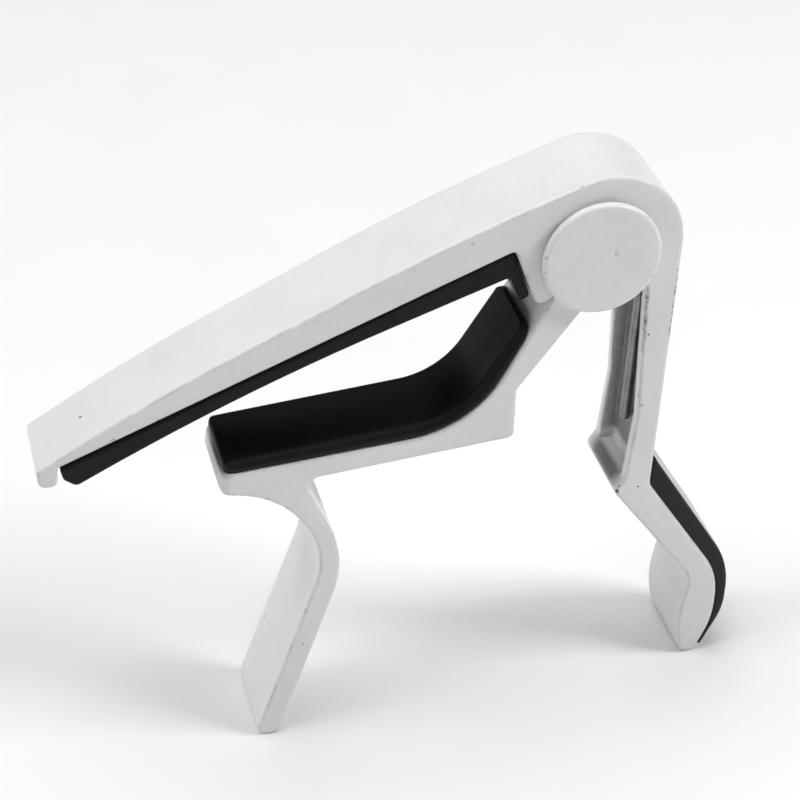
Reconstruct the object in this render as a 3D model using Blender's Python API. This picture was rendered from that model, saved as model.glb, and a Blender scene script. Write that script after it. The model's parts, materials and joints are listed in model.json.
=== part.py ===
"""Trigger-style guitar capo: two painted castings on one pin, a torsion spring, and three rubber pads.

Every outline is drawn in the side view, in millimetres, with the pivot axis at (0, 0), X towards the
trigger and Z up. The whole capo is then leaned until both handle ends stand level on the ground.
"""

import math

import bmesh
import bpy
from mathutils import Vector

MM = 0.001

# Widths across the capo (half of each, along Y)
TIP_HALF = 5.0            # fret bar at its free end
BODY_HALF = 5.7           # both castings around the pivot
FOOT_HALF = 6.0           # straight handle at its foot
TAPER_START_X = -20.0     # the fret bar narrows from here to its tip
TIP_X = -65.35
HANDLE_TOP_Z = -30.0      # the straight handle widens from here to its foot
FOOT_Z = -63.7
STRING_PAD_HALF = 5.15
NECK_PAD_HALF = 5.55
TRIGGER_PAD_HALF = 5.5

# Pivot
CAP_RADIUS = 7.05
CAP_INNER_Y = 5.82
CAP_OUTER_Y = 7.05
CAP_EDGE = 0.5
PIN_RADIUS = 1.9
PIN_HALF = 6.5
PIN_SOCKET_RADIUS = 1.93  # pressed into the caps and the inner ears
PIN_BORE_RADIUS = 1.96    # running in the flanges
HUB_RADIUS = 5.2          # flange around the pin
SEAT_RADIUS = 5.6         # hollow end of the lower arm, just outside the hub
EAR_RADIUS = 5.0
EAR_INNER_Y = 2.5
EAR_OUTER_Y = 4.0
FLANGE_INNER_Y = 4.15
CROWN_CENTRE = (1.06, 0.5)
CROWN_RADIUS = 9.0
WEB = 1.5                 # wall of the channel behind the spring

# Spring
WIRE_RADIUS = 0.65
COIL_RADIUS = 3.1
COIL_HALF = 1.65          # wire centre to wire centre, halved
COIL_TURNS = 2
SHORT_LEG_LENGTH = 7.6
SLOT_HALF = 0.85          # slot that the short leg sits in

# Rounding and fit
CAST_EDGE = 0.35          # rounding along the castings' side faces
RUBBER_EDGE = 0.28
THIN_RUBBER_EDGE = 0.15
GLUE_GAP = 0.12
ROUND_SAG = 0.006         # how far a round may leave its true circle
LARGEST_STEP = math.radians(15)

# Neck pad
NECK_PAD_REACH = 11.7     # its upper end, from the pivot
NECK_PAD_END = 0.95       # its thickness there
SILHOUETTE_SPAN = (-80.0, 30.0)

PAINT = ("white_paint", (0.80, 0.80, 0.78), 0.42, 0.0)
RUBBER = ("black_rubber", (0.02, 0.02, 0.02), 0.5, 0.0)
STEEL = ("spring_steel", (0.42, 0.41, 0.40), 0.3, 1.0)


# ---- outlines in the side view ----

def arc(centre, radius, start, end, step=7.0):
    """Points on a circle from one angle to another, in degrees, both ends included."""
    count = max(2, math.ceil(abs(end - start) / step))
    turns = (math.radians(start + (end - start) * i / count) for i in range(count + 1))
    return [(centre[0] + radius * math.cos(a), centre[1] + radius * math.sin(a)) for a in turns]


def fillet(before, corner, after, radius):
    """The round that replaces a corner, tangent to both of its sides."""
    here, back, on = (Vector(p[:2]) for p in (corner, before, after))
    to_back, to_on = (back - here).normalized(), (on - here).normalized()
    half_angle = to_back.angle(to_on) / 2
    reach = radius / math.tan(half_angle)
    centre = here + (to_back + to_on).normalized() * (radius / math.sin(half_angle))
    first = here + to_back * reach - centre
    turn = first.angle_signed(here + to_on * reach - centre)
    step = min(LARGEST_STEP, 2 * math.acos(1 - ROUND_SAG / radius))
    count = max(2, math.ceil(abs(turn) / step))
    start = math.atan2(first.y, first.x)
    step = math.degrees(abs(turn)) / count
    return arc(centre, radius, math.degrees(start), math.degrees(start - turn), step)


def rounded(corners):
    """An outline from (x, z, radius) corners. A corner of two numbers is a plain point."""
    points = []
    for i, corner in enumerate(corners):
        if len(corner) == 2:
            points.append(tuple(corner))
        else:
            after = corners[(i + 1) % len(corners)]
            points.extend(fillet(corners[i - 1], corner, after, corner[2]))
    return points


def shifted(points, distance):
    """The outline moved inwards by a distance, or outwards by a negative one."""
    area = sum(a[0] * b[1] - b[0] * a[1] for a, b in zip(points, points[1:] + points[:1]))
    side = 1 if area > 0 else -1
    moved = []
    for i, point in enumerate(points):
        before, after = points[i - 1], points[(i + 1) % len(points)]
        one = (Vector(point) - Vector(before)).normalized()
        two = (Vector(after) - Vector(point)).normalized()
        normal = Vector((-(one.y + two.y), one.x + two.x)).normalized() * side
        stretch = max(0.5, normal.dot(Vector((-one.y, one.x)) * side))
        moved.append(tuple(Vector(point) + normal * (distance / stretch)))
    return moved


# ---- solids ----

def material_of(look):
    name, colour, roughness, metallic = look
    material = bpy.data.materials.get(name) or bpy.data.materials.new(name)
    material.use_nodes = True
    shader = material.node_tree.nodes["Principled BSDF"]
    shader.inputs["Base Color"].default_value = (*colour, 1)
    shader.inputs["Roughness"].default_value = roughness
    shader.inputs["Metallic"].default_value = metallic
    return material


def slab_mesh(name, outline, low, high, edge=0.0, half_at=None):
    """An outline extruded along Y, its two rims rounded. half_at(x, z) gives the half width at a place."""
    steps = 3 if edge else 0
    layers = []
    for side, face in ((-1, low), (1, high)):
        rims = []
        for k in range(steps + 1):
            angle = math.pi / 2 * k / steps if steps else 0.0
            rims.append((edge * (1 - math.sin(angle)), face - side * edge * (1 - math.cos(angle))))
        layers.extend(rims if side < 0 else rims[::-1])
    work = bmesh.new()
    rings = []
    for inset, y in layers:
        points = shifted(outline, inset) if inset else outline
        ring = []
        for x, z in points:
            width = half_at(x, z) / max(abs(low), abs(high)) if half_at else 1.0
            ring.append(work.verts.new((x * MM, y * width * MM, z * MM)))
        rings.append(ring)
    for one, two in zip(rings, rings[1:]):
        for i in range(len(one)):
            work.faces.new((one[i - 1], one[i], two[i], two[i - 1]))
    work.faces.new(rings[0])
    work.faces.new(rings[-1])
    bmesh.ops.recalc_face_normals(work, faces=work.faces)
    mesh = bpy.data.meshes.new(name)
    work.to_mesh(mesh)
    work.free()
    return mesh


def add_piece(name, mesh, look, parent):
    piece = bpy.data.objects.new(name, mesh)
    bpy.context.scene.collection.objects.link(piece)
    piece.parent = parent
    mesh.materials.append(material_of(look))
    if mesh.polygons:
        mesh.shade_smooth()
        mesh.set_sharp_from_angle(angle=math.radians(35))
    return piece


def shape_with(piece, operation, helper_name, mesh):
    """Adds a Boolean modifier whose helper stays out of the render."""
    helper = bpy.data.objects.new(helper_name, mesh)
    bpy.context.scene.collection.objects.link(helper)
    helper.parent = piece.parent
    helper.hide_render = True
    helper.display_type = "WIRE"
    boolean = piece.modifiers.new(helper_name, "BOOLEAN")
    boolean.operation = operation
    boolean.object = helper
    return helper


def round_bar_mesh(name, radius, low, high, edge=0.0, step=9.0):
    """A disc or a rod along Y at the pivot."""
    return slab_mesh(name, arc((0, 0), radius, 0, 360, step)[:-1], low, high, edge)


def along_x_mesh(name, outline, low, high):
    """A (y, z) outline extruded along X."""
    work = bmesh.new()
    ends = [[work.verts.new((x * MM, y * MM, z * MM)) for y, z in outline] for x in (low, high)]
    for i in range(len(outline)):
        work.faces.new((ends[0][i - 1], ends[0][i], ends[1][i], ends[1][i - 1]))
    work.faces.new(ends[0])
    work.faces.new(ends[1])
    bmesh.ops.recalc_face_normals(work, faces=work.faces)
    mesh = bpy.data.meshes.new(name)
    work.to_mesh(mesh)
    work.free()
    return mesh


# ---- upper jaw: fret bar, pivot housing, spring channel and trigger in one casting ----

# Back of the arm's foot and of the trigger, where the thumb pad is glued on
TRIGGER_BACK = [(8.28, -34.0, 1.6), (18.5, -50.0, 11.0), (18.35, -57.2, 13.0)]


def upper_outline():
    return rounded([
        (TIP_X, -19.4, 0.45), (-52.0, -11.7, 230.0), (-17.0, 4.1, 230.0),       # top of the fret bar
        (10.74, 13.38, CROWN_RADIUS), *TRIGGER_BACK, (16.05, -62.25, 1.1),      # crown, arm and trigger
        (14.15, -62.2, 1.2), (13.3, -57.0, 14.0), (14.75, -49.9, 4.3),          # inside of the trigger
        (3.6, -34.3, 1.1), (4.9, -32.6, 1.6), (5.95, -23.5, 8.0),               # lip below the channel
        (5.95, -4.3, 1.0),                                                      # flange beside the pivot
        *arc((0, 0), HUB_RADIUS, -52, -145, 5.0),
        (-5.55, -5.1, 0.4), (-7.2, -5.95, 0.8), (-9.9, 1.78, 0.5),              # stop tab
        (-62.9, -19.22, 0.25), (-63.1, -21.7, 0.8), (-65.25, -21.75, 0.9),      # underside and tip bead
    ])


def upper_half(x, z):
    """Half width of the upper jaw: the fret bar narrows towards its tip."""
    along = (x - TAPER_START_X) / (TIP_X - TAPER_START_X)
    return BODY_HALF + (TIP_HALF - BODY_HALF) * min(1.0, max(0.0, along))


def bay_outline():
    """Space for the spring: round inside the crown, then straight down the channel to its floor."""
    inside = CROWN_RADIUS - WEB
    back = CROWN_CENTRE[0] + inside
    return [*arc(CROWN_CENTRE, inside, 215, 0, 6.0), (back - 1.65, -32.0), (back - 2.1, -32.9),
            (-3.0, -32.9), (-3.0, -9.0)]


def trigger_silhouette():
    """The trigger from the back: the corners of its lower end are rounded."""
    return rounded([(-7.0, 15.0), (7.0, 15.0), (7.0, -40.0), (5.75, -44.0), (5.75, -62.45, 1.0),
                    (-5.75, -62.45, 1.0), (-5.75, -44.0), (-7.0, -40.0)])


def upper_jaw(parent):
    mesh = slab_mesh("upper_jaw", upper_outline(), -BODY_HALF, BODY_HALF, CAST_EDGE, upper_half)
    piece = add_piece("upper_jaw", mesh, PAINT, parent)
    bay = slab_mesh("spring_bay", bay_outline(), -FLANGE_INNER_Y, FLANGE_INNER_Y)
    shape_with(piece, "DIFFERENCE", "spring_bay", bay)
    bore = round_bar_mesh("flange_bore", PIN_BORE_RADIUS, -8, 8)
    shape_with(piece, "DIFFERENCE", "flange_bore", bore)
    silhouette = along_x_mesh("trigger_silhouette", trigger_silhouette(), *SILHOUETTE_SPAN)
    shape_with(piece, "INTERSECT", "trigger_silhouette", silhouette)
    return piece


# ---- lower jaw: cradle, arm, inner ears and straight handle in one casting ----

ARM_DIRECTION = Vector((0.511, 0.859)).normalized()
ARM_FRONT = 1.98          # distance of the arm's front face from the pivot
ARM_BACK_DIRECTION = Vector((0.607, 0.795)).normalized()
ARM_BACK = 3.04           # distance of the arm's back face from the pivot


def arm_front_point(radius):
    """Where the arm's front face lies this far from the pivot."""
    normal = Vector((-ARM_DIRECTION.y, ARM_DIRECTION.x))
    return normal * ARM_FRONT - ARM_DIRECTION * math.sqrt(radius ** 2 - ARM_FRONT ** 2)


def arm_back_point(radius):
    """Where the arm's back face lies this far from the pivot."""
    normal = Vector((ARM_BACK_DIRECTION.y, -ARM_BACK_DIRECTION.x))
    return normal * ARM_BACK - ARM_BACK_DIRECTION * math.sqrt(radius ** 2 - ARM_BACK ** 2)


def angle_of(point):
    return math.degrees(math.atan2(point.y, point.x))


def cradle_top():
    """The face that the neck pad is glued to, from the free end to the pivot."""
    return [(-44.5, -23.3, 0.5), (-14.7, -21.63, 13.5)]


def lower_outline():
    front, back = arm_front_point(SEAT_RADIUS), arm_back_point(SEAT_RADIUS)
    return rounded([
        *cradle_top(),
        *arc((0, 0), SEAT_RADIUS, angle_of(front), angle_of(back), 6.0),
        (-9.25, -17.1, 0.6), (-9.4, -23.75, 0.9), (-34.9, -25.5, 1.5),          # back of the arm and cradle
        (-29.8, -37.9, 13.5), (-39.1, -63.7, 1.1), (-42.2, -63.8, 1.2),         # outside of the handle, foot
        (-32.15, -36.5, 10.0), (-38.0, -27.3, 11.0), (-44.9, -25.9, 1.1),       # inside of the handle
    ])


def lower_half(x, z):
    """Half width of the lower jaw: the straight handle widens towards its foot."""
    along = (z - HANDLE_TOP_Z) / (FOOT_Z - HANDLE_TOP_Z)
    return BODY_HALF + (FOOT_HALF - BODY_HALF) * min(1.0, max(0.0, along))


def ear_outline():
    """A round ear on the pin, with its root buried in the arm."""
    root = SEAT_RADIUS + 2.4
    front, back = arm_front_point(EAR_RADIUS), arm_back_point(EAR_RADIUS)
    inner = 0.4
    front_root, back_root = arm_front_point(root), arm_back_point(root)
    across = (back_root - front_root).normalized() * inner
    round_end = arc((0, 0), EAR_RADIUS, angle_of(front) + 4, angle_of(back) - 360 - 4, 9.0)
    return [tuple(front_root + across), *round_end, tuple(back_root - across)]


def lower_jaw(parent):
    mesh = slab_mesh("lower_jaw", lower_outline(), -BODY_HALF, BODY_HALF, CAST_EDGE, lower_half)
    piece = add_piece("lower_jaw", mesh, PAINT, parent)
    for side, name in ((-1, "front_ear"), (1, "rear_ear")):
        low, high = sorted((side * EAR_INNER_Y, side * EAR_OUTER_Y))
        shape_with(piece, "UNION", name, slab_mesh(name, ear_outline(), low, high))
    shape_with(piece, "DIFFERENCE", "ear_bore", round_bar_mesh("ear_bore", PIN_SOCKET_RADIUS, -8, 8))
    slot = [(-COIL_RADIUS - SLOT_HALF, -2.0), (-COIL_RADIUS + SLOT_HALF, -2.0),
            (-COIL_RADIUS + SLOT_HALF, -12.0), (-COIL_RADIUS - SLOT_HALF, -12.0)]
    slot_mesh = slab_mesh("spring_slot", slot, COIL_HALF - SLOT_HALF, COIL_HALF + SLOT_HALF)
    shape_with(piece, "DIFFERENCE", "spring_slot", slot_mesh)
    return piece


# ---- pivot pin, caps and spring ----

def pivot_pin(parent):
    mesh = round_bar_mesh("pivot_pin", PIN_RADIUS, -PIN_HALF, PIN_HALF, 0.2)
    return add_piece("pivot_pin", mesh, STEEL, parent)


def pivot_cap(name, side, parent):
    """A smooth disc pressed over one end of the pin."""
    low, high = sorted((side * CAP_INNER_Y, side * CAP_OUTER_Y))
    piece = add_piece(name, round_bar_mesh(name, CAP_RADIUS, low, high, CAP_EDGE, 5.0), PAINT, parent)
    socket_end = side * (PIN_HALF + 0.05)
    low, high = sorted((side * 5.0, socket_end))
    socket = round_bar_mesh(name + "_socket", PIN_SOCKET_RADIUS, low, high)
    shape_with(piece, "DIFFERENCE", name + "_socket", socket)
    return piece


def smooth_through(points, count):
    """A smooth curve through 3-D points, with this many steps between neighbours."""
    ends = [points[0] * 2 - points[1], *points, points[-1] * 2 - points[-2]]
    found = []
    for a, b, c, d in zip(ends, ends[1:], ends[2:], ends[3:]):
        for i in range(count):
            t = i / count
            found.append(0.5 * (2 * b + (c - a) * t + (2 * a - 5 * b + 4 * c - d) * t ** 2
                                + (3 * b - a - 3 * c + d) * t ** 3))
    return [*found, points[-1]]


def spring_path():
    """The short leg, then the coil round the pin, then the long leg down the channel."""
    start, end = 180.0, 30.0 - 360.0 * COIL_TURNS
    short_leg = [Vector((-COIL_RADIUS, COIL_HALF, z)) for z in (-SHORT_LEG_LENGTH, -4.0)]
    count = round((start - end) / 20)
    coil = []
    for i in range(count + 1):
        angle = math.radians(start + (end - start) * i / count)
        y = COIL_HALF - 2 * COIL_HALF * i / count
        coil.append(Vector((COIL_RADIUS * math.cos(angle), y, COIL_RADIUS * math.sin(angle))))
    long_leg = [coil[-1], Vector((5.6, -1.55, -3.2)), Vector((6.9, -1.2, -8.0)),
                Vector((6.85, -0.6, -16.0)), Vector((6.4, -0.3, -27.0))]
    return [*short_leg, *coil, *smooth_through(long_leg, 4)[1:]]


def torsion_spring(parent):
    curve = bpy.data.curves.new("torsion_spring", "CURVE")
    curve.dimensions = "3D"
    curve.bevel_depth = WIRE_RADIUS * MM
    curve.bevel_resolution = 2
    curve.use_fill_caps = True
    path = spring_path()
    spline = curve.splines.new("POLY")
    spline.points.add(len(path) - 1)
    for spot, point in zip(spline.points, path):
        spot.co = (*(point * MM), 1)
    curve.materials.append(material_of(STEEL))
    piece = bpy.data.objects.new("torsion_spring", curve)
    bpy.context.scene.collection.objects.link(piece)
    piece.parent = parent
    return piece


# ---- rubber pads ----

def string_pad_outline():
    """The strip under the fret bar, curved to a fretboard, with a hook turned down at the pivot end."""
    return rounded([
        (-62.7, -19.28 - GLUE_GAP, 0.4), (-10.1, 1.5 - GLUE_GAP, 0.4),
        (-7.75 - GLUE_GAP, -4.8, 0.45), (-9.1, -5.3, 0.45), (-10.35, -2.0, 0.5),
        (-41.8, -12.5, 270.0), (-61.0, -22.0, 0.8), (-62.4, -20.9, 0.6),
    ])


def neck_pad_outline():
    """The cushion that bears on the back of the neck: an even layer over the cradle and up the arm."""
    top_end = arm_front_point(NECK_PAD_REACH)
    normal = Vector((-ARM_DIRECTION.y, ARM_DIRECTION.x))
    inner_end, outer_end = top_end + normal * GLUE_GAP, top_end + normal * NECK_PAD_END
    return rounded([
        (-44.2, -23.28 + GLUE_GAP, 0.3), (-14.75, -21.55 + GLUE_GAP, 13.4),
        (*inner_end, 0.3), (*outer_end, 0.35),
        (-15.95, -19.86, 10.0), (-44.3, -21.8, 0.85),
    ])


def trigger_pad_outline():
    """The thumb pad on the outside of the trigger, thin at its upper end and ending above the toe."""
    inner = [(x + GLUE_GAP, z, radius) for x, z, radius in TRIGGER_BACK]
    return rounded([
        (8.42 + GLUE_GAP, -30.6, 0.21), *inner, (16.52, -61.5, 0.2), (17.1, -61.55, 0.21),
        (19.82, -56.1, 9.0), (20.1, -48.9, 13.0), (8.98, -30.5, 0.21),
    ])


def string_pad(parent):
    mesh = slab_mesh("string_pad", string_pad_outline(), -STRING_PAD_HALF, STRING_PAD_HALF, RUBBER_EDGE)
    return add_piece("string_pad", mesh, RUBBER, parent)


def neck_pad(parent):
    mesh = slab_mesh("neck_pad", neck_pad_outline(), -NECK_PAD_HALF, NECK_PAD_HALF, RUBBER_EDGE)
    return add_piece("neck_pad", mesh, RUBBER, parent)


def trigger_pad(parent):
    outline = trigger_pad_outline()
    mesh = slab_mesh("trigger_pad", outline, -TRIGGER_PAD_HALF, TRIGGER_PAD_HALF, THIN_RUBBER_EDGE)
    piece = add_piece("trigger_pad", mesh, RUBBER, parent)
    silhouette = along_x_mesh("pad_silhouette", trigger_silhouette(), *SILHOUETTE_SPAN)
    shape_with(piece, "INTERSECT", "pad_silhouette", silhouette)
    return piece


# ---- standing position ----

def leaned(point, angle):
    """A side-view point after the capo is turned by an angle about the pivot."""
    x, z = point
    return x * math.cos(angle) + z * math.sin(angle), z * math.cos(angle) - x * math.sin(angle)


def standing_lean():
    """The angle at which the lowest points of both handles are level."""
    angle = 0.0
    for _ in range(8):
        left = min(lower_outline(), key=lambda p: leaned(p, angle)[1])
        right = min(upper_outline(), key=lambda p: leaned(p, angle)[1])
        angle = math.atan2(right[1] - left[1], right[0] - left[0])
    return angle


def add_empty(name, parent=None):
    empty = bpy.data.objects.new(name, None)
    empty.empty_display_size = 10 * MM
    bpy.context.scene.collection.objects.link(empty)
    empty.parent = parent
    return empty


def place_on_ground(stand):
    """Leans the capo level and puts the middle of its footprint box at the origin."""
    angle = standing_lean()
    points = [leaned(p, angle) for p in upper_outline() + lower_outline() + trigger_pad_outline()]
    low_x, high_x = min(p[0] for p in points), max(p[0] for p in points)
    stand.location = (-(low_x + high_x) / 2 * MM, 0, -min(p[1] for p in points) * MM)
    stand.rotation_euler = (0, angle, 0)


def build_capo():
    for old in list(bpy.data.objects):
        bpy.data.objects.remove(old, do_unlink=True)
    stand = add_empty("stand")
    moving = add_empty("upper_jaw_axis", stand)
    lower_jaw(stand)
    neck_pad(stand)
    pivot_pin(stand)
    pivot_cap("pivot_cap_front", -1, stand)
    pivot_cap("pivot_cap_rear", 1, stand)
    torsion_spring(stand)
    upper_jaw(moving)
    string_pad(moving)
    trigger_pad(moving)
    place_on_ground(stand)


build_capo()
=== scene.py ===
"""Looks of a trigger-style guitar capo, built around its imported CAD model.

Side-view places are in millimetres from the pivot axis, X towards the trigger and Z up, before the
capo leans to stand on both handle ends. at() turns one of them into a place in the row frame.

A finer piece stands for every CAD node but the pin. It is evenly meshed, drawn back onto the node's
surface and eased, so that its edges are as soft as those of cast metal and moulded rubber.
"""

import json
import math

import bpy
from mathutils import Matrix, Vector, noise
from mathutils.bvhtree import BVHTree

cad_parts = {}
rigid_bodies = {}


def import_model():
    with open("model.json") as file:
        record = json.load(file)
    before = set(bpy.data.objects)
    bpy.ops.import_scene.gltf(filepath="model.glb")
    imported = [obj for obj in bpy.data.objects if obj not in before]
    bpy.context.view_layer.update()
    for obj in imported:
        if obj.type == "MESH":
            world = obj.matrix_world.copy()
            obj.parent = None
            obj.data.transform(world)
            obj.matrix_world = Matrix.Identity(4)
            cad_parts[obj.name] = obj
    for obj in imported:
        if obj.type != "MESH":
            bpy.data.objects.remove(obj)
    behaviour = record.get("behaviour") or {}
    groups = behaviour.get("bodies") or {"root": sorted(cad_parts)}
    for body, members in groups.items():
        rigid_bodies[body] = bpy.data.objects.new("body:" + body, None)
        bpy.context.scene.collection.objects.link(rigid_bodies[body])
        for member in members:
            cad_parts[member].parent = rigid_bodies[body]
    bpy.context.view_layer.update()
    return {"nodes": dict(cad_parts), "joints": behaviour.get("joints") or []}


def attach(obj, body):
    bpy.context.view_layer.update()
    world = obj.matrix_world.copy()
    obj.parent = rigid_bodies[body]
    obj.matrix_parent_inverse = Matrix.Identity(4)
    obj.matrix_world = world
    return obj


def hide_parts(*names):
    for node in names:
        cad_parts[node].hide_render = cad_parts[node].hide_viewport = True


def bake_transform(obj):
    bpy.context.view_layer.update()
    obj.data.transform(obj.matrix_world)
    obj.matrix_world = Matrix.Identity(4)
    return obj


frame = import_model()

MM = 0.001
SCENE = bpy.context.scene
NODES = frame["nodes"]
HINGE = frame["joints"][0]
LOWER, UPPER = HINGE["parent"], HINGE["child"]
PIVOT = Vector(HINGE["pos_m"])
LEAN = math.radians(1.5535)
STANDING = Matrix.Translation(PIVOT) @ Matrix.Rotation(LEAN, 4, "Y")

# Mesh fineness of the castings, the pads and the pivot caps, and the passes that ease their edges
CAST_GRID = 0.17 * MM
PAD_GRID = 0.16 * MM
CAP_GRID = 0.12 * MM
METAL_EASING = 3
PAD_EASING = 2

# Rubber pads: half widths, and the rounding of their free edges, in millimetres
NECK_PAD_HALF, NECK_PAD_ROUND = 5.55, 1.15
TRIGGER_PAD_HALF, TRIGGER_PAD_ROUND = 5.5, 0.55
STRING_PAD_HALF, STRING_PAD_ROUND = 5.15, 0.4
GLUED = 0.3 * MM          # faces nearer to the casting than this are glued to it
SIDE_NORMAL = 0.3         # a face whose normal has more than this along Y is one of a pad's sides

# Lower casting: half width at the cradle
CASTING_HALF = 5.7

# Ends rounded in plan: the radius, and how far a side-view place is from that end
CRADLE_TIP = (1.3, lambda place: place.x + 44.9 - 0.15 * (place.z + 26.0))
NECK_PAD_TIP = (1.6, lambda place: place.x + 44.3)
NECK_PAD_TOP = (2.0, lambda place: -8.7 - place.z)
TRIGGER_PAD_TOP = (0.7, lambda place: -30.55 - place.z)

# Pivot caps: their outer faces along Y, and the marks pressed into them, each with its side-view x
# and z, radius and depth
CAP_FACE = 7.05
CAP_PIPS = [(1.34, 0.64, 0.55, 0.20), (3.54, -0.34, 0.26, 0.08)]
CAP_RIPPLE = 0.02

# Torsion spring: wire, coil (angles in degrees from +X, turning backwards) and side-view legs
WIRE_RADIUS = 0.65
COIL_RADIUS = 3.1
COIL_HALF = 1.65
COIL_START = 180.0
COIL_END = 30.0 - 2 * 360.0
COIL_STEP = 6.0
SHORT_LEG = [Vector((-COIL_RADIUS, COIL_HALF, -7.6)), Vector((-COIL_RADIUS, COIL_HALF, -4.0))]
LONG_LEG = [Vector((5.6, -1.55, -3.2)), Vector((6.9, -1.2, -8.0)), Vector((6.85, -0.6, -16.0)),
            Vector((6.4, -0.3, -27.0))]

# Colours
PAINT_DIM, PAINT_BRIGHT, PAINT_GRAIN = (0.73, 0.735, 0.725), (0.78, 0.785, 0.78), (0.60, 0.61, 0.60)
# The first two colours on the next line are painted shade: deep in the spring channel, and along the lip
# under it with dark reflection; the third is bare metal in chips and knocks, and painted shade in thin
# lines on the sharpest edges
CHANNEL_SHADE_COLOUR, LIP_SHADE_COLOUR, BARE_METAL_AND_EDGE_SHADE = (0.10, 0.10, 0.11), (0.10, 0.10, 0.105), (0.13, 0.13, 0.13)
RUBBER_DIM, RUBBER_BRIGHT, DUST = (0.0045, 0.0045, 0.0047), (0.0075, 0.0075, 0.0078), (0.16, 0.16, 0.155)
WIRE_DIM, WIRE_BRIGHT = (0.16, 0.16, 0.165), (0.30, 0.30, 0.305)
PIN_DIM, PIN_BRIGHT = (0.40, 0.40, 0.39), (0.58, 0.58, 0.57)
CLOTH_DIM, CLOTH_BRIGHT = (0.86, 0.86, 0.86), (0.90, 0.90, 0.90)
SKY = (0.97, 0.98, 1.0, 1)
THUMB_POLISH = 0.36       # how much smoother the thumb has made the trigger's pad

# Floor: half its width, and the glow of its far parts, as under a light tent: where it starts and
# where it is full, in metres, and its strength there
FLOOR_HALF = 1.6
GLOW_START, GLOW_FULL, GLOW_STRENGTH = 0.35, 1.0, 0.85

# Lights: place, size in metres and power in watts. All of them aim at LIGHT_AIM.
LIGHT_AIM = (0, 0, 0.03)
LIGHTS = {"overhead": ((-0.05, 0.10, 0.75), (0.6, 0.6), 4.0),
          "key": ((0.60, -0.24, 0.52), (0.26, 0.26), 3.8),
          "left_fill": ((-0.75, 0.05, 0.40), (0.5, 0.4), 3.0),
          "front_fill": ((-0.10, -0.75, 0.45), (0.8, 0.5), 0.45)}
WORLD_STRENGTH = 0.02

# Camera: its side-view place, the way it looks, and its lens
CAMERA_PLACE = (-76.15, -213.03, 130.84)
CAMERA_AIM = Vector((0.20352, 0.79899, -0.56587))
CAMERA_LENS = 101.5


def at(x, y, z):
    """A side-view place, in millimetres from the pivot, as a point in the row frame."""
    return STANDING @ (Vector((x, y, z)) * MM)


def in_side_view(point):
    """The opposite of at()."""
    return (STANDING.inverted() @ Vector(point)) / MM


# ---- node helpers ----

class Nodes:
    """A short way to write a material's node tree."""

    def __init__(self, name):
        self.material = bpy.data.materials.new(name)
        self.material.use_nodes = True
        self.tree = self.material.node_tree
        self.shader = self.tree.nodes["Principled BSDF"]
        self.coordinates = self.tree.nodes.new("ShaderNodeTexCoord").outputs["Object"]

    def add(self, kind, inputs=None, **settings):
        node = self.tree.nodes.new("ShaderNode" + kind)
        for key, value in settings.items():
            setattr(node, key, value)
        for key, value in (inputs or {}).items():
            if isinstance(value, bpy.types.NodeSocket):
                self.tree.links.new(value, node.inputs[key])
            else:
                node.inputs[key].default_value = value
        return node

    def noise(self, per_mm, detail=2.0, roughness=0.5, stretch=(1, 1, 1)):
        """Noise with about this many features per millimetre."""
        place = self.coordinates
        if stretch != (1, 1, 1):
            place = self.add("Mapping", {"Vector": place, "Scale": stretch}).outputs[0]
        inputs = {"Vector": place, "Scale": per_mm / MM, "Detail": detail, "Roughness": roughness}
        return self.add("TexNoise", inputs).outputs["Fac"]

    def ramp(self, value, low, high, to_low=0.0, to_high=1.0):
        """A value brought from low..high to to_low..to_high, and kept inside them."""
        inputs = {"Value": value, "From Min": low, "From Max": high, "To Min": to_low, "To Max": to_high}
        return self.add("MapRange", inputs).outputs["Result"]

    def math(self, operation, *values):
        return self.add("Math", dict(enumerate(values)), operation=operation).outputs[0]

    def mix(self, factor, one, two):
        node = self.add("Mix", {0: factor}, data_type="RGBA")
        for key, value in ((6, one), (7, two)):
            if isinstance(value, bpy.types.NodeSocket):
                self.tree.links.new(value, node.inputs[key])
            else:
                node.inputs[key].default_value = (*value, 1)
        return node.outputs[2]

    def bump(self, height, distance, strength=1.0, below=None):
        inputs = {"Height": height, "Distance": distance * MM, "Strength": strength}
        if below is not None:
            inputs["Normal"] = below
        return self.add("Bump", inputs).outputs[0]

    def to_shader(self, **links):
        names = {"colour": "Base Color", "roughness": "Roughness", "normal": "Normal"}
        for key, socket in links.items():
            self.tree.links.new(socket, self.shader.inputs[names[key]])

    def set_shader(self, **values):
        """Constants on the shader, with _ for each space in an input's name."""
        for key, value in values.items():
            self.shader.inputs[key.replace("_", " ")].default_value = value

    def distance(self, place, point=None):
        """How far the shading point, or another point, is from a place in the row frame."""
        inputs = {0: self.coordinates if point is None else point, 1: place}
        return self.add("VectorMath", inputs, operation="DISTANCE").outputs["Value"]

    def across(self, vector):
        """How far a vector reaches along Y, either way."""
        return self.math("ABSOLUTE", self.add("SeparateXYZ", {"Vector": vector}).outputs["Y"])

    def sideways(self):
        """How far the surface faces along Y, either way."""
        return self.across(self.add("TexCoord").outputs["Normal"])

    def near(self, spots):
        """1 on each (place, radius in mm) spot, falling to 0 just outside it."""
        wobble = self.math("MULTIPLY", self.noise(3.0, 3.0), 0.5)
        found = None
        for place, radius in spots:
            away = self.math("DIVIDE", self.distance(place), radius * MM)
            share = self.math("ADD", away, wobble)
            found = share if found is None else self.math("MINIMUM", found, share)
        return self.ramp(found, 1.35, 1.05)


# ---- materials ----

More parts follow.
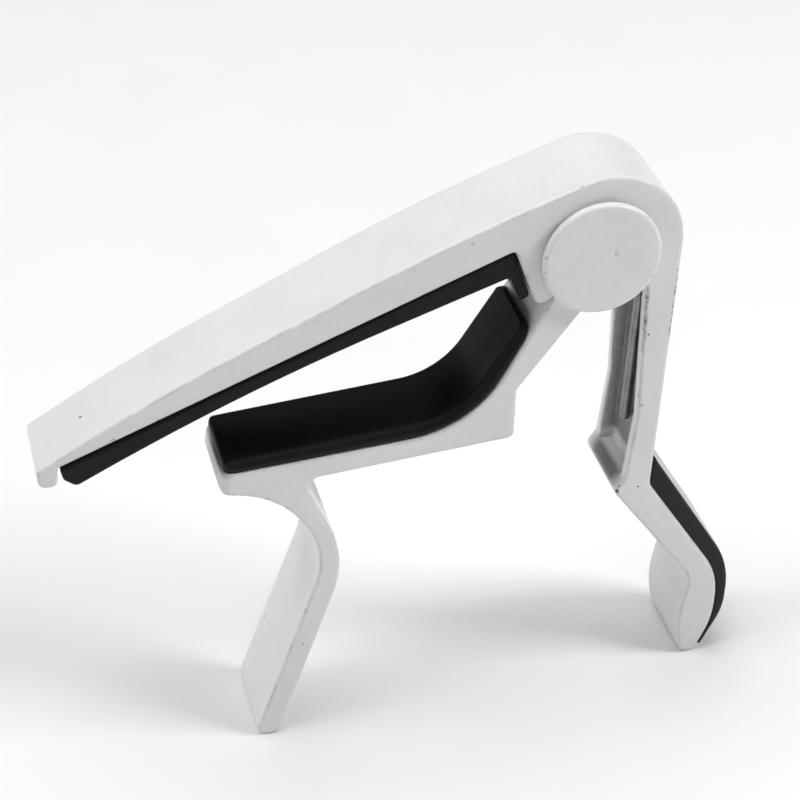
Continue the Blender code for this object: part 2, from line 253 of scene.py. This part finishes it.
# Chips in the paint: side-view place and radius
CHIPS = [((-59.45, 0.0, -16.0), 0.20), ((6.6, -5.7, -11.8), 0.14), ((6.4, -5.7, -21.8), 0.12),
         ((6.7, -5.7, -33.9), 0.15), ((4.1, -5.7, -33.4), 0.32), ((4.0, -5.6, -34.2), 0.26),
         ((-35.6, -5.9, -50.1), 0.12), ((-38.45, 4.7, -53.6), 0.14), ((-63.0, 2.2, -17.9), 0.13)]

# The lip under the spring channel, darkened with painted shade and dark reflection: side-view line along Y,
# and its radius
LIP_LINE, LIP_RADIUS = (4.0, 0.0, -33.35), 1.5

# The arm's outer edge, chipped by other things in a pocket: side-view place of the middle, how far
# the chips reach from it, and how far they stay at their most
ARM_EDGE, ARM_EDGE_RADIUS, ARM_EDGE_CORE = (9.4, -5.7, -8.5), 7.5, 4.0

# Inside of the spring channel, darkened with painted shade: its open edge, its floor at the pivot's height
# and that floor's slope, half its width, and its two ends
CHANNEL_NEAR_X, CHANNEL_FLOOR_X, CHANNEL_SLOPE = 5.6, 8.56, 0.0516
CHANNEL_HALF = 4.5
CHANNEL_TOP_Z, CHANNEL_BOTTOM_Z = -2.0, -32.0


def side_view_parts(n):
    """The shading point's side-view x, y and z, in millimetres."""
    place = n.add("VectorMath", {0: n.coordinates, 1: PIVOT}, operation="SUBTRACT").outputs["Vector"]
    axes = [STANDING.to_3x3() @ Vector(axis) / MM for axis in ((1, 0, 0), (0, 1, 0), (0, 0, 1))]
    dots = [n.add("VectorMath", {0: place, 1: axis}, operation="DOT_PRODUCT") for axis in axes]
    return [dot.outputs["Value"] for dot in dots]


def channel_shade_mask(n):
    """1 on the floor of the spring channel, for painted shade deep in it, fading towards its open edge."""
    x, y, z = side_view_parts(n)
    depth = n.math("SUBTRACT", x, n.math("MULTIPLY", z, CHANNEL_SLOPE))
    between_walls = n.ramp(n.math("ABSOLUTE", y), CHANNEL_HALF + 0.25, CHANNEL_HALF)
    deep = n.ramp(depth, CHANNEL_NEAR_X, CHANNEL_FLOOR_X)
    in_front_of_back = n.ramp(depth, CHANNEL_FLOOR_X + 0.8, CHANNEL_FLOOR_X + 0.4)
    above_bottom = n.ramp(z, CHANNEL_BOTTOM_Z, CHANNEL_BOTTOM_Z + 0.8)
    below_top = n.ramp(z, CHANNEL_TOP_Z, CHANNEL_TOP_Z - 2.0)
    section = n.math("MULTIPLY", n.math("MULTIPLY", between_walls, deep), in_front_of_back)
    return n.math("MULTIPLY", section, n.math("MULTIPLY", above_bottom, below_top))


def lip_shade_mask(n):
    """1 along the middle of the lip under the channel, for painted shade and dark reflection, falling to 0
    towards its two ends.
    """
    flat = n.add("VectorMath", {0: n.coordinates, 1: (1, 0, 1)}, operation="MULTIPLY").outputs["Vector"]
    away = n.distance(at(*LIP_LINE), flat)
    along = n.ramp(n.across(n.coordinates), 5.3 * MM, 3.0 * MM)
    return n.math("MULTIPLY", n.ramp(away, LIP_RADIUS * MM, 0.5 * LIP_RADIUS * MM), along)


def edge_shade_and_wear(n):
    """1 for painted shade in a thin dark line on the sharpest edges beside the side faces, and where the
    paint is rubbed through in small knocks, more of them on the arm's outer edge."""
    rim = n.ramp(n.sideways(), 0.08, 0.25)
    sharp = n.add("NewGeometry").outputs["Pointiness"]
    sharpest = n.math("MULTIPLY", n.ramp(sharp, 0.516, 0.54), rim)
    wider = n.math("MULTIPLY", n.ramp(sharp, 0.510, 0.525), rim)
    # Painted shade: a thin dark line on the sharpest edges
    thin_edge_shade = n.math("MULTIPLY", sharpest, n.ramp(n.noise(0.35, 5.0, 0.65), 0.40, 0.60, 0.12, 0.62))
    more = n.ramp(n.distance(at(*ARM_EDGE)), ARM_EDGE_RADIUS * MM, ARM_EDGE_CORE * MM, 0.0, 0.14)
    knocks = n.math("ADD", n.noise(0.9, 6.0, 0.8), more)
    knocked = n.math("MULTIPLY", wider, n.ramp(knocks, 0.62, 0.68))
    return n.math("MAXIMUM", knocked, thin_edge_shade)


def white_paint():
    """Satin white enamel over a casting: faint orange peel, uneven gloss, chips and knocks, and painted
    shade in the spring channel, along the lip and in thin lines on the sharpest edges.
    """
    n = Nodes("white_paint")
    cloud = n.noise(0.12, 3.0, 0.6)
    colour = n.mix(n.ramp(cloud, 0.3, 0.7), PAINT_DIM, PAINT_BRIGHT)
    grain = n.noise(1.6, 4.0, 0.65)
    colour = n.mix(n.ramp(grain, 0.35, 0.75, 0.0, 0.22), colour, PAINT_GRAIN)
    # Painted shade deep in the spring channel
    shade_in_channel = n.math("MULTIPLY", channel_shade_mask(n), n.ramp(grain, 0.2, 0.8, 0.65, 0.95))
    colour = n.mix(shade_in_channel, colour, CHANNEL_SHADE_COLOUR)
    # Painted shade and dark reflection along the middle of the lip
    colour = n.mix(n.math("MULTIPLY", lip_shade_mask(n), 0.85), colour, LIP_SHADE_COLOUR)
    chipped = n.near([(at(*place), radius) for place, radius in CHIPS])
    # Bare metal in chips and knocks, and painted shade in thin dark lines on the sharpest edges
    bare_and_edge_shade = n.math("MAXIMUM", n.math("MULTIPLY", edge_shade_and_wear(n), 0.8), chipped)
    colour = n.mix(bare_and_edge_shade, colour, BARE_METAL_AND_EDGE_SHADE)
    rough = n.ramp(n.noise(0.4, 4.0, 0.6), 0.25, 0.75, 0.34, 0.50)
    rough = n.math("ADD", rough, n.math("MULTIPLY", bare_and_edge_shade, 0.15))
    peel = n.bump(n.noise(0.9, 1.0), 0.010, 0.55)
    fine = n.bump(n.noise(5.0, 2.0), 0.004, 0.45, peel)
    normal = n.bump(n.math("SUBTRACT", 1.0, bare_and_edge_shade), 0.05, 0.8, fine)
    n.to_shader(colour=colour, roughness=rough, normal=normal)
    n.set_shader(Specular_IOR_Level=0.5, Coat_Weight=0.15, Coat_Roughness=0.22)
    return n.material


def black_rubber(name, polished=0.0):
    """Moulded rubber: near black, fine matte grain, specks of dust. polished is how much smoother a
    thumb has made its broad faces."""
    n = Nodes(name)
    cloud = n.noise(0.15, 4.0, 0.6)
    colour = n.mix(n.ramp(cloud, 0.3, 0.75), RUBBER_DIM, RUBBER_BRIGHT)
    dust = n.ramp(n.noise(2.2, 5.0, 0.8), 0.70, 0.78)
    colour = n.mix(n.math("MULTIPLY", dust, 0.25), colour, DUST)
    rough = n.ramp(n.noise(0.3, 5.0, 0.65), 0.25, 0.75, 0.42, 0.60)
    if polished:
        broad = n.ramp(n.sideways(), 0.7, 0.3, 0.0, polished)
        rough = n.math("SUBTRACT", rough, broad)
    grain = n.bump(n.noise(6.0, 2.0), 0.010, 0.5)
    normal = n.bump(n.noise(0.6, 2.0), 0.012, 0.5, grain)
    n.to_shader(colour=colour, roughness=rough, normal=normal)
    n.set_shader(Specular_IOR_Level=0.3 if polished else 0.18)
    return n.material


def drawn_steel(name, dim, bright, stretch):
    """Bright steel with fine marks along one direction, and darker patches of oil and tarnish."""
    n = Nodes(name)
    patches = n.noise(0.4, 5.0, 0.7)
    colour = n.mix(n.ramp(patches, 0.3, 0.7), dim, bright)
    marks = n.noise(4.0, 3.0, 0.6, stretch)
    rough = n.math("ADD", n.ramp(patches, 0.2, 0.8, 0.22, 0.38), n.math("MULTIPLY", marks, 0.12))
    n.to_shader(colour=colour, roughness=rough, normal=n.bump(marks, 0.006, 0.6))
    n.set_shader(Metallic=1.0)
    return n.material


# ---- meshes ----

def evaluated(thing):
    """A new mesh of an object with its modifiers applied."""
    bpy.context.view_layer.update()
    return bpy.data.meshes.new_from_object(thing.evaluated_get(bpy.context.evaluated_depsgraph_get()))


def ease(piece, passes):
    """Applies the piece's modifiers, then evens out small steps in its mesh."""
    smooth = piece.modifiers.new("ease", "SMOOTH")
    smooth.iterations = passes
    piece.data = evaluated(piece)
    piece.modifiers.clear()
    piece.data.name = piece.name


def evened(name, node, grid, passes):
    """A finer piece for a CAD node: evenly meshed, drawn back onto its surface, its edges then eased."""
    source = NODES[node]
    piece = bpy.data.objects.new(name, source.data.copy())
    SCENE.collection.objects.link(piece)
    remesh = piece.modifiers.new("even", "REMESH")
    remesh.mode = "VOXEL"
    remesh.voxel_size = grid
    back = piece.modifiers.new("back", "SHRINKWRAP")
    back.target = source
    back.wrap_method = "NEAREST_SURFACEPOINT"
    ease(piece, passes)
    piece.data.shade_smooth()
    return piece


def surface_of(piece):
    """The piece's surface, for finding the nearest place on it."""
    points = [v.co.copy() for v in piece.data.vertices]
    return BVHTree.FromPolygons(points, [tuple(p.vertices) for p in piece.data.polygons])


def free_faces(node, casting_surface):
    """The faces of a pad's CAD node that are neither its two sides nor glued to the casting."""
    mesh = NODES[node].data
    points = [v.co.copy() for v in mesh.vertices]
    free = [tuple(p.vertices) for p in mesh.polygons
            if abs(p.normal.y) < SIDE_NORMAL and casting_surface.find_nearest(p.center)[3] > GLUED]
    return BVHTree.FromPolygons(points, free)


def round_free_edges(piece, surface, half, radius):
    """Rounds a pad's two long edges over its free faces, and leaves its glued edges alone."""
    half, radius = half * MM, radius * MM
    start = half - radius
    for vertex in piece.data.vertices:
        y = vertex.co.y
        out = abs(y) - start
        if out <= 0:
            continue
        _, normal, _, depth = surface.find_nearest(Vector((vertex.co.x, 0, vertex.co.z)))
        rise = radius - depth
        reach = math.hypot(out, rise)
        if rise <= 0 or reach <= radius:
            continue
        share = radius / reach
        vertex.co -= normal * (rise * (1 - share))
        vertex.co.y = math.copysign(start + out * share, y)


def round_plan(piece, half, radius, past_end):
    """Rounds a piece's corners in plan near one end. past_end(place) is the distance from that end."""
    for vertex in piece.data.vertices:
        from_end = past_end(in_side_view(vertex.co))
        if from_end < radius:
            back = radius - max(0.0, from_end)
            here = half - radius + math.sqrt(max(0.0, radius ** 2 - back ** 2))
            vertex.co.y *= max(here, 0.2) / half


def glued_to(pad, surface):
    """Draws the pad's hidden face onto the casting that it is glued to."""
    for vertex in pad.data.vertices:
        place, _, _, distance = surface.find_nearest(vertex.co, GLUED)
        if place is not None:
            share = 1.0 - max(0.0, distance / GLUED - 0.5) * 2
            vertex.co = vertex.co.lerp(place, share * 1.02)


def finished(piece, material, node, body=None):
    """Gives a piece its material and its body, and lets it stand for its CAD node."""
    piece.data.materials.clear()
    piece.data.materials.append(material)
    if body:
        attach(piece, body)
    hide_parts(node)
    return piece


# ---- castings and pivot ----

def casting(name, node, body, paint, half=0, ends=()):
    """A painted casting. ends holds (radius, distance function) for each end that is rounded in plan."""
    piece = evened(name, node, CAST_GRID, METAL_EASING)
    for end_radius, past_end in ends:
        round_plan(piece, half, end_radius, past_end)
    return finished(piece, paint, node, body)


def pivot_cap(name, node, side, paint):
    """A pressed disc with a soft rim and the small marks of the tool that pressed it. Its outer face
    looks along side times Y."""
    piece = evened(name, node, CAP_GRID, METAL_EASING)
    for vertex in piece.data.vertices:
        place = in_side_view(vertex.co)
        if place.y * side < CAP_FACE - 0.3:
            continue
        sunk = 0.0
        for x, z, radius, depth in CAP_PIPS:
            away = math.hypot(place.x - x, place.z - z) / radius
            raised_rim = 0.25 * depth * math.exp(-8.0 * (away - 1.15) ** 2)
            sunk += depth * math.exp(-2.5 * away ** 2) - raised_rim
        ripple = CAP_RIPPLE * noise.noise(Vector((place.x, place.z, side * 7.0)) * 0.35)
        vertex.co.y -= side * (max(0.0, sunk) + max(0.0, ripple)) * MM
    finished(piece, paint, node, LOWER)


def smooth_through(points, count):
    """A smooth curve through 3-D points, with this many steps between neighbours."""
    ends = [points[0] * 2 - points[1], *points, points[-1] * 2 - points[-2]]
    found = []
    for a, b, c, d in zip(ends, ends[1:], ends[2:], ends[3:]):
        for i in range(count):
            t = i / count
            found.append(0.5 * (2 * b + (c - a) * t + (2 * a - 5 * b + 4 * c - d) * t ** 2
                                + (3 * b - a - 3 * c + d) * t ** 3))
    return [*found, points[-1]]


def spring_path():
    """Short leg in the lower arm, two turns round the pin, long leg down the upper jaw's channel."""
    count = round((COIL_START - COIL_END) / COIL_STEP)
    coil = []
    for i in range(count + 1):
        angle = math.radians(COIL_START + (COIL_END - COIL_START) * i / count)
        y = COIL_HALF - 2 * COIL_HALF * i / count
        coil.append(Vector((COIL_RADIUS * math.cos(angle), y, COIL_RADIUS * math.sin(angle))))
    return [*smooth_through(SHORT_LEG, 4), *coil, *smooth_through([coil[-1], *LONG_LEG], 12)[1:]]


def torsion_spring(steel):
    """The round wire, swept along the spring's path; it stands for the spring's CAD node."""
    curve = bpy.data.curves.new("torsion_spring_wire", "CURVE")
    curve.dimensions = "3D"
    curve.bevel_depth = WIRE_RADIUS * MM
    curve.bevel_resolution = 6
    curve.use_fill_caps = True
    path = spring_path()
    spline = curve.splines.new("POLY")
    spline.points.add(len(path) - 1)
    for spot, point in zip(spline.points, path):
        spot.co = (*at(*point), 1)
    holder = bpy.data.objects.new("wire", curve)
    SCENE.collection.objects.link(holder)
    mesh = evaluated(holder)
    bpy.data.objects.remove(holder)
    piece = bpy.data.objects.new("torsion_spring_wire", mesh)
    SCENE.collection.objects.link(piece)
    mesh.shade_smooth()
    finished(piece, steel, "torsion_spring")
    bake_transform(piece)


def pivot_pin():
    """The pin is all but hidden, so its CAD node itself is shown."""
    pin = NODES["pivot_pin"]
    pin.data.materials.clear()
    pin.data.materials.append(drawn_steel("pin_steel", PIN_DIM, PIN_BRIGHT, (1, 8, 1)))


# ---- rubber ----

def rubber_pad(name, node, body, casting_piece, material, half, radius, ends=()):
    """A moulded pad. ends holds (radius, distance function) for each end that is rounded in plan."""
    piece = evened(name, node, PAD_GRID, PAD_EASING)
    surface = surface_of(casting_piece)
    for end_radius, past_end in ends:
        round_plan(piece, half, end_radius, past_end)
    round_free_edges(piece, free_faces(node, surface), half, radius)
    glued_to(piece, surface)
    ease(piece, PAD_EASING)
    finished(piece, material, node, body)


# ---- studio ----

def area_light(name, place, size, power):
    light = bpy.data.lights.new(name, "AREA")
    light.shape = "RECTANGLE"
    light.size, light.size_y = size
    light.energy = power
    lamp = bpy.data.objects.new(name, light)
    lamp.location = place
    lamp.rotation_euler = (Vector(LIGHT_AIM) - Vector(place)).to_track_quat("-Z", "Y").to_euler()
    SCENE.collection.objects.link(lamp)


def floor_cloth():
    n = Nodes("floor_cloth")
    n.to_shader(colour=n.mix(n.noise(0.05, 3.0), CLOTH_DIM, CLOTH_BRIGHT),
                normal=n.bump(n.noise(1.2, 2.0), 0.05, 0.5))
    away = n.add("VectorMath", {0: n.coordinates}, operation="LENGTH").outputs["Value"]
    glow = n.ramp(away, GLOW_START, GLOW_FULL, 0.0, GLOW_STRENGTH)
    n.tree.links.new(glow, n.shader.inputs["Emission Strength"])
    n.set_shader(Emission_Color=(1, 1, 1, 1), Roughness=0.9, Specular_IOR_Level=0.2)
    return n.material


def studio():
    mesh = bpy.data.meshes.new("floor")
    corners = [(x * FLOOR_HALF, y * FLOOR_HALF, 0) for x, y in ((-1, -1), (1, -1), (1, 1), (-1, 1))]
    mesh.from_pydata(corners, [], [(0, 1, 2, 3)])
    mesh.materials.append(floor_cloth())
    floor = bpy.data.objects.new("floor", mesh)
    SCENE.collection.objects.link(floor)
    world = bpy.data.worlds.new("studio")
    world.use_nodes = True
    background = world.node_tree.nodes["Background"]
    background.inputs["Color"].default_value = SKY
    background.inputs["Strength"].default_value = WORLD_STRENGTH
    SCENE.world = world
    for name, (place, size, power) in LIGHTS.items():
        area_light(name, place, size, power)
    SCENE.view_settings.view_transform = "Standard"


def camera():
    data = bpy.data.cameras.new("camera")
    data.lens = CAMERA_LENS
    data.clip_start = 0.01
    holder = bpy.data.objects.new("camera", data)
    SCENE.collection.objects.link(holder)
    holder.location = at(*CAMERA_PLACE)
    holder.rotation_euler = (STANDING.to_3x3() @ CAMERA_AIM.to_track_quat("-Z", "Y").to_matrix()).to_euler()
    SCENE.camera = holder


def build():
    paint = white_paint()
    rubber = black_rubber("black_rubber")
    thumb_rubber = black_rubber("polished_rubber", THUMB_POLISH)
    upper = casting("upper_jaw_casting", "upper_jaw", UPPER, paint)
    lower = casting("lower_jaw_casting", "lower_jaw", LOWER, paint, CASTING_HALF, [CRADLE_TIP])
    pivot_cap("front_cap", "pivot_cap_front", -1, paint)
    pivot_cap("rear_cap", "pivot_cap_rear", 1, paint)
    torsion_spring(drawn_steel("spring_steel", WIRE_DIM, WIRE_BRIGHT, (1, 1, 0.1)))
    pivot_pin()
    rubber_pad("string_pad_rubber", "string_pad", UPPER, upper, rubber, STRING_PAD_HALF, STRING_PAD_ROUND)
    rubber_pad("trigger_pad_rubber", "trigger_pad", UPPER, upper, thumb_rubber, TRIGGER_PAD_HALF,
               TRIGGER_PAD_ROUND, [TRIGGER_PAD_TOP])
    rubber_pad("neck_pad_rubber", "neck_pad", LOWER, lower, rubber, NECK_PAD_HALF, NECK_PAD_ROUND,
               [NECK_PAD_TIP, NECK_PAD_TOP])


build()
studio()
camera()
